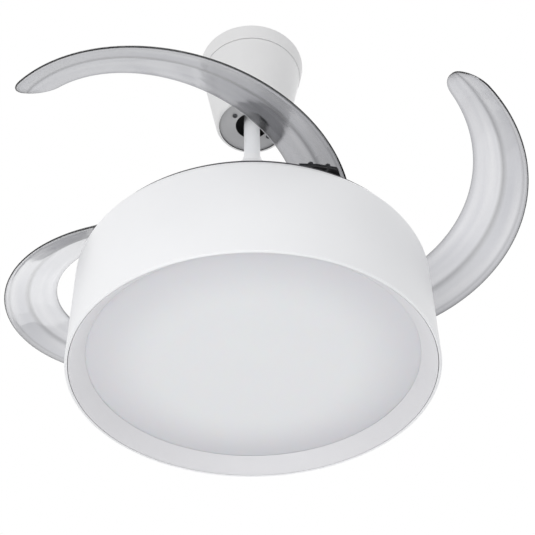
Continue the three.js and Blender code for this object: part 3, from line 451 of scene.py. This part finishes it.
def outline_of(node, centre=(0.0, 0.0), turn=CUT_TURN):
    """The (radius, z) corners of a turned solid, in order; open if it meets the axis"""
    away = Vector((math.cos(turn), math.sin(turn), 0))
    side = Vector((-away.y, away.x, 0))
    axis = Vector((*centre, 0))
    mesh = bmesh.new()
    mesh.from_mesh(nodes[node].data)
    bmesh.ops.remove_doubles(mesh, verts=mesh.verts, dist=WELD)
    whole = mesh.verts[:] + mesh.edges[:] + mesh.faces[:]
    bmesh.ops.bisect_plane(mesh, geom=whole, dist=CUT_TOLERANCE, plane_co=axis + away * WELD,
                           plane_no=away, clear_inner=True)
    half = mesh.verts[:] + mesh.edges[:] + mesh.faces[:]
    cut = bmesh.ops.bisect_plane(mesh, geom=half, dist=CUT_TOLERANCE, plane_co=axis, plane_no=side)["geom_cut"]
    near = {}
    for edge in cut:
        if isinstance(edge, bmesh.types.BMEdge) and edge.calc_length() > SHORTEST_CUT:
            first, last = edge.verts
            near.setdefault(first, []).append(last)
            near.setdefault(last, []).append(first)
    open_ends = [vert for vert, others in near.items() if len(others) == 1]
    path = [open_ends[0] if open_ends else next(iter(near))]
    while True:
        onward = [vert for vert in near[path[-1]] if vert not in path]
        if not onward:
            break
        path.append(onward[0])
    corners = [((vert.co - axis).dot(away), vert.co.z) for vert in path]
    mesh.free()
    return simplified(corners, closed=not open_ends)


def simplified(corners, closed):
    """Drops points that lie together, and points on a straight line"""
    kept = []
    for corner in corners:
        if not kept or math.dist(corner, kept[-1]) > SAME_PLACE:
            kept.append(corner)
    if closed and math.dist(kept[0], kept[-1]) <= SAME_PLACE:
        kept.pop()
    count = len(kept)
    ends = () if closed else (0, count - 1)
    return [kept[i] for i in range(count) if i in ends or bend_at(kept, i) > STRAIGHT]


def bend_at(corners, i):
    """How far the outline turns at corner i, in radians"""
    before = Vector(corners[i]) - Vector(corners[i - 1])
    after = Vector(corners[(i + 1) % len(corners)]) - Vector(corners[i])
    return before.angle(after, 0.0)


# %% Round the corners of an outline
SHARP = math.radians(40)  # a corner that turns further than this is a real edge
ARC_STEPS = 4
LONGEST_REACH = 0.48  # share of a side that a rounded corner may take


def rounded(corners, edge, sweep, closed):
    """Sharp corners get the radius edge, and the gentle ones of a curve the radius sweep"""
    result = []
    count = len(corners)
    for i, corner in enumerate(corners):
        if not closed and i in (0, count - 1):
            result.append(corner)
            continue
        here = Vector(corner)
        before = Vector(corners[i - 1]) - here
        after = Vector(corners[(i + 1) % count]) - here
        bend = bend_at(corners, i)
        wanted = (edge if bend > SHARP else sweep) * math.tan(bend / 2)
        reach = min(wanted, LONGEST_REACH * before.length, LONGEST_REACH * after.length)
        start = here + before.normalized() * reach
        end = here + after.normalized() * reach
        for step in range(ARC_STEPS + 1):
            s = step / ARC_STEPS
            point = start * (1 - s) ** 2 + here * 2 * s * (1 - s) + end * s ** 2
            result.append((point.x, point.y))
    return result


# %% Make a piece, and spin an outline into a smooth shell
def stand_in(node, mesh):
    """A piece, named after its mesh, that takes a solid's place, motion and material"""
    mesh.materials.append(FINISHES[slot_of[node]])
    piece = bpy.data.objects.new(mesh.name, mesh)
    bpy.context.scene.collection.objects.link(piece)
    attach(piece, body_of[node])
    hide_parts(node)
    return piece


def smooth_mesh(name, mesh, sharp_from=None):
    """Smooth mesh data from a bmesh; edges that turn more than sharp_from degrees stay sharp"""
    data = bpy.data.meshes.new(name)
    mesh.to_mesh(data)
    mesh.free()
    data.shade_smooth()
    if sharp_from is not None:
        data.set_sharp_from_angle(angle=math.radians(sharp_from))
    return data


def spun_mesh(name, corners, closed, segments, centre=(0.0, 0.0)):
    """A closed mesh turned from (radius, z) corners round a vertical line"""
    mesh = bmesh.new()
    turns = [2 * math.pi * k / segments for k in range(segments)]
    rings = []
    for radius, z in corners:
        if radius < ON_AXIS:
            rings.append([mesh.verts.new((centre[0], centre[1], z))])
            continue
        rings.append([mesh.verts.new((centre[0] + radius * math.cos(a), centre[1] + radius * math.sin(a), z))
                      for a in turns])
    pairs = list(zip(rings, rings[1:] + rings[:1])) if closed else list(zip(rings, rings[1:]))
    for low, high in pairs:
        for k in range(segments):
            quad = [low[k % len(low)], low[(k + 1) % len(low)],
                    high[(k + 1) % len(high)], high[k % len(high)]]
            corners_of_face = list(dict.fromkeys(quad))
            if len(corners_of_face) > 2:
                mesh.faces.new(corners_of_face)
    bmesh.ops.recalc_face_normals(mesh, faces=mesh.faces[:])
    return smooth_mesh(name, mesh, sharp_from=38)


INWARD, UPWARD = -0.3, 0.9  # parts of a face's normal, away from the axis and up


def paint_shade_inside(mesh, material):
    """Gives the faces of a shell that look inward or up another, near-black material: painted shade inside the
    shell
    """
    mesh.materials.append(material)
    for face in mesh.polygons:
        away = Vector((face.center.x, face.center.y, 0)).normalized()
        if face.normal.dot(away) < INWARD or face.normal.z > UPWARD:
            face.material_index = 1


def turn_finer(node, edge, sweep=14.0, segments=96, centre=(0.0, 0.0), turn=CUT_TURN):
    """Replaces a turned solid by a smooth one with rounded edges; edge and sweep are in mm"""
    corners = outline_of(node, centre, turn)
    meets_axis = min(radius for radius, _ in corners) < ON_AXIS
    outline = rounded(corners, edge * MM, sweep * MM, closed=not meets_axis)
    return stand_in(node, spun_mesh(f"{node}_turned", outline, not meets_axis, segments, centre))


# %% Turn the lamp drum, the canopy, the rod and the covers
LARGE, MEDIUM, SMALL = 192, 96, 48
LAMP_PLATE_CUT = math.radians(-70.02)  # clear of a screw hole
for node, edge in {"drum_shell": 0.6, "bezel_ring": 0.3, "diffuser": 0.6, "light_pan": 0.6,
                   "blade_carrier": 0.5, "top_cover": 0.7}.items():
    piece = turn_finer(node, edge, segments=LARGE)
    print(piece.name, len(piece.data.polygons), "faces")
bpy.data.objects["bezel_ring_turned"].data.materials[0] = FINISHES["shaded_lip_plastic"]  # darker than the drum's white and a little rougher: the darker colour is painted shade on the lip
turn_finer("lamp_plate", 0.4, segments=LARGE, turn=LAMP_PLATE_CUT)
for node, edge in {"coupling_cover": 0.6, "rotor_cup": 0.6, "rotor_lid": 0.6, "magnet_ring": 0.5}.items():
    turn_finer(node, edge, segments=MEDIUM)
for node, edge in {"canopy_rim": 1.8, "canopy_shell": 1.8, "canopy_base_plate": 0.5}.items():
    canopy_piece = turn_finer(node, edge, segments=MEDIUM)
    # the canopy's white plastic is swapped for its darker copy: painted shade
    if slot_of[node] == "white_plastic":
        canopy_piece.data.materials[0] = FINISHES["shaded_canopy_plastic"]
    # the faces inside the canopy that look inward or up get painted shade
    paint_shade_inside(canopy_piece.data, FINISHES["inner_painted_shade"])
for node, edge in {"downrod": 0.4, "coupler": 0.8, "motor_shaft": 0.4, "hanger_ball": 0.5,
                   "ball_seat": 0.4, "bearing_lower": 0.6, "bearing_upper": 0.6}.items():
    turn_finer(node, edge, segments=SMALL)

# %% [markdown]
# ## Pieces with rounded edges
# The other pieces aren't turned. A copy of each solid gets its edges bevelled, so that they catch
# the light as moulded, pressed and machined edges do.

# %% Bevel a copy of a solid
BEVEL_FROM = math.radians(30)  # an edge that turns further than this is bevelled
FLAT_BELOW = math.radians(1)  # faces that differ by less are joined first


def soften(node, edge):
    """Replaces a solid by a copy with bevelled edges; edge is in mm"""
    mesh = bmesh.new()
    mesh.from_mesh(nodes[node].data)
    bmesh.ops.remove_doubles(mesh, verts=mesh.verts, dist=WELD)
    bmesh.ops.dissolve_limit(mesh, angle_limit=FLAT_BELOW, verts=mesh.verts, edges=mesh.edges)
    edges = [e for e in mesh.edges if len(e.link_faces) == 2 and e.calc_face_angle(0.0) > BEVEL_FROM]
    bmesh.ops.bevel(mesh, geom=edges, offset=edge * MM, offset_type="OFFSET", segments=2, profile=0.6,
                    affect="EDGES", clamp_overlap=True)
    stand_in(node, smooth_mesh(f"{node}_softened", mesh, sharp_from=35))


SOFT_EDGES = {"ceiling_bracket": 0.5, "receiver_module": 1.6, "terminal_block": 1.0, "ball_pin": 0.4,
              "coupler_pin": 0.4, "supply_lead": 0.3, "shaft_nut": 0.8, "stator_core": 0.4,
              "stator_winding": 1.2, "led_board": 0.3, "led_driver": 1.2, "sync_gear": 0.35}
BLADE_COUNT = 4
for k in range(1, BLADE_COUNT + 1):
    SOFT_EDGES[f"blade_hub_{k}"] = 0.5
    SOFT_EDGES[f"blade_clamp_{k}"] = 0.5
for node, edge in SOFT_EDGES.items():
    soften(node, edge)
print("softened pieces", len(SOFT_EDGES))

# %% [markdown]
# ### Screws and posts
# The screws and the pivot posts are turned about lines of their own. The canopy's screws show
# beside the rod, so each head gets a cross recess.

# %% Turn the screws and the posts
def middle_of(node):
    """The upright line through the middle of a node, as (x, y)"""
    low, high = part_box(node)
    return ((low.x + high.x) / 2, (low.y + high.y) / 2)


def cross_recess(piece, node, width, length, depth):
    """Sinks a cross into the underside of a screw's head; sizes in mm"""
    x, y = middle_of(node)
    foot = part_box(node)[0].z
    cutter_mesh = bmesh.new()
    for wide, long in ((width, length), (length, width)):
        made = bmesh.ops.create_cube(cutter_mesh, size=1.0)["verts"]
        bmesh.ops.scale(cutter_mesh, vec=(wide * MM, long * MM, 2 * depth * MM), verts=made)
    bmesh.ops.translate(cutter_mesh, vec=(x, y, foot), verts=cutter_mesh.verts)
    data = bpy.data.meshes.new("recess_cutter")
    cutter_mesh.to_mesh(data)
    cutter_mesh.free()
    cutter = bpy.data.objects.new("recess_cutter", data)
    bpy.context.scene.collection.objects.link(cutter)
    sink = piece.modifiers.new("recess", "BOOLEAN")
    sink.operation = "DIFFERENCE"
    sink.object = cutter
    sink.solver = "EXACT"
    sink.use_self = True
    bpy.context.view_layer.update()
    shaped = piece.evaluated_get(bpy.context.evaluated_depsgraph_get())
    sunk = bpy.data.meshes.new_from_object(shaped)
    piece.modifiers.clear()
    piece.data = sunk
    bpy.data.objects.remove(cutter)


SMALL_SWEEP = 3.0  # mm
SCREW_STEPS, POST_STEPS = 32, 40
POST_EDGE = 0.6  # mm
SCREWS = {  # name: how many, edge in mm, and the recess's width, length and depth in mm
    "canopy_screw": (2, 0.6, (1.1, 5.0, 1.4)),
    "drum_screw": (3, 0.5, (1.0, 4.4, 1.3)),
}
for name, (count, edge, recess) in SCREWS.items():
    for k in range(1, count + 1):
        node = f"{name}_{k}"
        screw = turn_finer(node, edge, SMALL_SWEEP, SCREW_STEPS, middle_of(node))
        cross_recess(screw, node, *recess)
for k in range(1, BLADE_COUNT + 1):
    node = f"pivot_post_{k}"
    turn_finer(node, POST_EDGE, SMALL_SWEEP, POST_STEPS, middle_of(node))
print("screws", {name: count for name, (count, _, _) in SCREWS.items()}, "and posts", BLADE_COUNT)

# %% [markdown]
# ## The blades
# A blade is a sickle that lies on a circle round the fan when it is folded, and climbs towards its
# tip so that it can pass over its neighbour. It is worked out folded, from the same few sizes as
# the solid, and then swung out about its pivot. A formula is used, rather than a subdivided copy
# of the solid, so that the rolled lip, the ridge and the round tip stay crisp.

# %% Sizes of a blade
FIRST_PIVOT_TURN = math.radians(-66.5)
OPEN_ANGLE = math.radians(50.5)
PIVOT_R = 207 * MM
BLADE_R = 250 * MM
BLADE_SPAN = math.radians(127.5)
BLADE_ROOT = 172.5 * MM  # above the drum's lower rim
BLADE_RISE = 80 * MM
RISE_POWER = 1.35
BLADE_PITCH = 40 * MM
BLADE_T = 2.6 * MM
LIP = 0.8 * MM  # how far the lip stands proud on each side
TRIM = 0.5 * MM  # keeps the fine curve inside the corners of the solid
LIP_WIDTH = 0.09
INNER_EDGE_R = 194.6 * MM
INNER_EDGE_OFFSET = 23.6 * MM
INNER_EDGE_TURN = math.radians(148.4)
RIDGE_AT = 0.44
RIDGE_HEIGHT = 0.54
RIDGE_SOFTNESS = 0.012
BLADE_START = -0.07
TIP_ROUND = 0.063
ROOT_ROUND = 0.046
END_FULLNESS = 2.3  # 2 makes the ends of the blade elliptic, and more makes them squarer
LIP_FULLNESS = 0.8
THINNEST = 0.02  # keeps the ends and edges from closing to nothing
EASING = 0.115  # steps are closer together towards both ends
DRUM_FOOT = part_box("drum_shell")[0].z


def inner_edge(t):
    """Radius of the inner edge at t, from 0 at the pivot to 1 at the tip"""
    along = INNER_EDGE_OFFSET * math.cos(-t * BLADE_SPAN - INNER_EDGE_TURN)
    return along + math.sqrt(INNER_EDGE_R ** 2 - INNER_EDGE_OFFSET ** 2 + along ** 2)


def crown(w):
    """Share of the pitch at w, from 0 at the outer edge to 1 at the inner, with a soft ridge"""
    outer = w * RIDGE_HEIGHT / RIDGE_AT
    inner = RIDGE_HEIGHT + (w - RIDGE_AT) * (1 - RIDGE_HEIGHT) / (1 - RIDGE_AT)
    middle = (outer + inner) / 2
    return middle - math.sqrt((outer - inner) ** 2 / 4 + RIDGE_SOFTNESS ** 2)


def blade_height(t, r):
    """The z of the blade's middle surface at t and at the distance r from the fan's axis"""
    w = (BLADE_R - r) / (BLADE_R - inner_edge(t))
    rise = BLADE_RISE * max(t, 0.0) ** RISE_POWER
    return DRUM_FOOT + BLADE_ROOT + rise + BLADE_PITCH * crown(w)


# %% From the folded place to the open one
def swing_out(index):
    """The matrix that opens blade number index, built folded with its pivot on +X"""
    place = Matrix.Rotation(FIRST_PIVOT_TURN + index * 2 * math.pi / BLADE_COUNT, 4, "Z")
    pivot = Matrix.Translation((PIVOT_R, 0, 0))
    return place @ pivot @ Matrix.Rotation(OPEN_ANGLE, 4, "Z") @ pivot.inverted()


def folded_point(t, r, z):
    """A point of the folded blade at t, at the distance r from the fan's axis"""
    return Vector((r * math.cos(-t * BLADE_SPAN), r * math.sin(-t * BLADE_SPAN), z))


# %% The blade's mesh: rings across the blade, from root to tip
ALONG_STEPS = 110
ACROSS = ([0.0, 0.002, 0.006, 0.012, 0.02, 0.03, 0.045, 0.06, 0.075, 0.09, 0.11] +
          [0.15, 0.2, 0.26, 0.32, 0.37, 0.40, 0.42, 0.43, 0.44, 0.45, 0.46, 0.48, 0.52] +
          [0.6, 0.7, 0.8, 0.88, 0.93, 0.96, 0.975, 0.985, 0.992, 0.997, 1.0])


def width_share(t):
    """How much of the full width the blade has at t: less at the round tip and root"""
    tip = max(0.0, (t - (1 - TIP_ROUND)) / TIP_ROUND)
    root = max(0.0, (BLADE_START + ROOT_ROUND - t) / ROOT_ROUND)
    k = max(tip, root)
    return max(THINNEST, (1 - k ** END_FULLNESS)) ** 0.5


def half_thickness(w, width):
    """Half the blade's thickness at w: a rolled lip outside, and round edges"""
    lip = LIP * max(0.0, math.sin(math.pi * min(w / LIP_WIDTH, 1.0))) ** LIP_FULLNESS
    to_edge = min(w, 1 - w) * width
    nose = BLADE_T / 2 + lip
    round_off = math.sqrt(max(0.0, 1 - (1 - min(to_edge / nose, 1.0)) ** 2))
    return max(THINNEST * MM, nose * round_off)


def skin(mesh, rings):
    """Faces between each ring and the next, and one at each end"""
    for low, high in zip(rings, rings[1:]):
        for k in range(len(low)):
            n = (k + 1) % len(low)
            mesh.faces.new((low[k], low[n], high[n], high[k]))
    mesh.faces.new(rings[0])
    mesh.faces.new(rings[-1])
    bmesh.ops.recalc_face_normals(mesh, faces=mesh.faces[:])


def blade_mesh(name):
    """A blade in its folded place"""
    mesh = bmesh.new()
    along = mesh.verts.layers.float.new("along")
    across = mesh.verts.layers.float.new("across")
    rings = []
    for step in range(ALONG_STEPS + 1):
        s = step / ALONG_STEPS
        eased = s - EASING * math.sin(2 * math.pi * s)
        t = BLADE_START + (1 - BLADE_START) * eased
        inside = inner_edge(t)
        middle = (BLADE_R + inside) / 2
        half = (BLADE_R - inside) / 2 * width_share(t) - TRIM
        ring = []
        for side, ws in ((1, ACROSS), (-1, ACROSS[-2:0:-1])):
            for w in ws:
                r = middle + half * (1 - 2 * w)
                z = blade_height(t, r) + side * half_thickness(w, 2 * half)
                vert = mesh.verts.new(folded_point(t, r, z))
                vert[along] = eased
                vert[across] = w
                ring.append(vert)
        rings.append(ring)
    skin(mesh, rings)
    return smooth_mesh(name, mesh)


# %% Make the four blades
for index in range(BLADE_COUNT):
    node = f"blade_{index + 1}"
    mesh = blade_mesh(f"{node}_moulded")
    mesh.transform(swing_out(index))
    stand_in(node, mesh)
    low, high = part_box(node)
    reach = max((vert.co - (low + high) / 2).length for vert in mesh.vertices)
    print(node, "faces", len(mesh.polygons), "reach in mm", round(reach / MM, 1))

# %% [markdown]
# ### The retract springs
# A coil of steel wire lies in each hub's cup and draws the blade in when the fan slows down. A curve
# with a bevel depth would give a coil too. The rings of its wire are placed by formula here.

# %% Wind the four springs
COIL_R = 11.6 * MM
WIRE_R = 0.9 * MM
COIL_TURNS = 3
COIL_PITCH = 3.6 * MM
STEPS_PER_TURN = 40
WIRE_SIDES = 10


def coil_mesh(name, foot):
    """A coil round the pivot of a blade that is folded, with its pivot on +X"""
    mesh = bmesh.new()
    rings = []
    for step in range(COIL_TURNS * STEPS_PER_TURN + 1):
        turn = 2 * math.pi * step / STEPS_PER_TURN
        outward = Vector((math.cos(turn), math.sin(turn), 0))
        centre = Vector((PIVOT_R, 0, foot + COIL_PITCH * step / STEPS_PER_TURN)) + outward * COIL_R
        sides = [2 * math.pi * k / WIRE_SIDES for k in range(WIRE_SIDES)]
        rings.append([mesh.verts.new(centre + WIRE_R * (outward * math.cos(a) + Vector((0, 0, math.sin(a)))))
                      for a in sides])
    skin(mesh, rings)
    return smooth_mesh(name, mesh, sharp_from=60)


for index in range(BLADE_COUNT):
    node = f"retract_spring_{index + 1}"
    mesh = coil_mesh(f"{node}_wound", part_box(node)[0].z + WIRE_R)
    mesh.transform(swing_out(index))
    stand_in(node, mesh)
print("springs of", COIL_TURNS, "turns")

# %% [markdown]
# ## Floor, light and background
# The fan hangs above a plain pale floor. The light is soft: a large lamp on the left, a weaker
# one on the right, one below and a faint one above, one behind that gleams on the blades, and an
# even world. The background is white only to the camera, to mirror reflections and to what passes
# through the clear blades, so that it adds no light.

# %% The floor
FLOOR_Z = -2.5
FLOOR_SIZE = 14
bpy.ops.mesh.primitive_plane_add(size=FLOOR_SIZE, location=(0, 0, FLOOR_Z))
floor = bpy.context.object
floor.name = "floor"
floor_material, floor_tree, floor_shader = new_material("floor", Roughness=0.8)
floor_grain = place_group(floor_tree, GRAIN, Fine=40.0, Broad=2.0)
floor_colour = mix_colour(floor_tree, floor_grain.outputs["Tone"], (0.80, 0.80, 0.80), (0.77, 0.77, 0.775))
floor_tree.links.new(floor_colour, floor_shader.inputs["Base Color"])
floor.data.materials.append(floor_material)
print("floor", round(abs(FLOOR_Z), 2), "m below the ceiling")


# %% The lamps of the studio
def area_light(name, place, target, size, power):
    """A round lamp that lights and gleams, but isn't seen itself, also not through the blades"""
    data = bpy.data.lights.new(name, "AREA")
    data.shape = "DISK"
    data.size = size
    data.energy = power
    light = bpy.data.objects.new(name, data)
    light.visible_camera = False
    light.visible_transmission = False
    light.location = place
    light.rotation_euler = (Vector(target) - Vector(place)).to_track_quat("-Z", "Y").to_euler()
    bpy.context.scene.collection.objects.link(light)


STUDIO_LAMPS = {  # name: place, size in metres, power in watts
    "key_light": ((-2.4, -2.2, -0.9), 2.2, 25),
    "fill_light": ((2.6, -1.6, -1.2), 2.0, 13),
    "low_light": ((-0.5, -1.2, -2.3), 2.0, 18),
    "top_light": ((0.4, 0.8, 1.6), 2.0, 4),
    "blade_gleam": ((0.25, 3.4, -1.25), 2.4, 28),
}
for name, (place, size, power) in STUDIO_LAMPS.items():
    area_light(name, place, DRUM_MIDDLE, size, power)
print("studio lights", len(STUDIO_LAMPS))

# %% The world: even light, and white to what sees it directly
AMBIENT = 0.63
SKY_COLOUR = (0.97, 0.98, 1.0, 1.0)
BACKDROP_COLOUR = (1.0, 1.0, 1.0, 1.0)
world = bpy.data.worlds.new("studio")
bpy.context.scene.world = world
world.use_nodes = True
world_tree = world.node_tree
world_tree.nodes.clear()
seen_by = world_tree.nodes.new("ShaderNodeLightPath").outputs
direct = math_node(world_tree, "MAXIMUM", seen_by["Is Camera Ray"], seen_by["Is Glossy Ray"])
direct = math_node(world_tree, "MAXIMUM", direct, seen_by["Is Transmission Ray"])
lighting = add_node(world_tree, "ShaderNodeBackground", Color=SKY_COLOUR, Strength=AMBIENT)
backdrop = add_node(world_tree, "ShaderNodeBackground", Color=BACKDROP_COLOUR, Strength=1.0)
chooser = world_tree.nodes.new("ShaderNodeMixShader")
world_out = world_tree.nodes.new("ShaderNodeOutputWorld")
world_tree.links.new(direct, chooser.inputs[0])
world_tree.links.new(lighting.outputs[0], chooser.inputs[1])
world_tree.links.new(backdrop.outputs[0], chooser.inputs[2])
world_tree.links.new(chooser.outputs[0], world_out.inputs[0])
bpy.context.scene.view_settings.view_transform = "Standard"
print("ambient strength", AMBIENT)
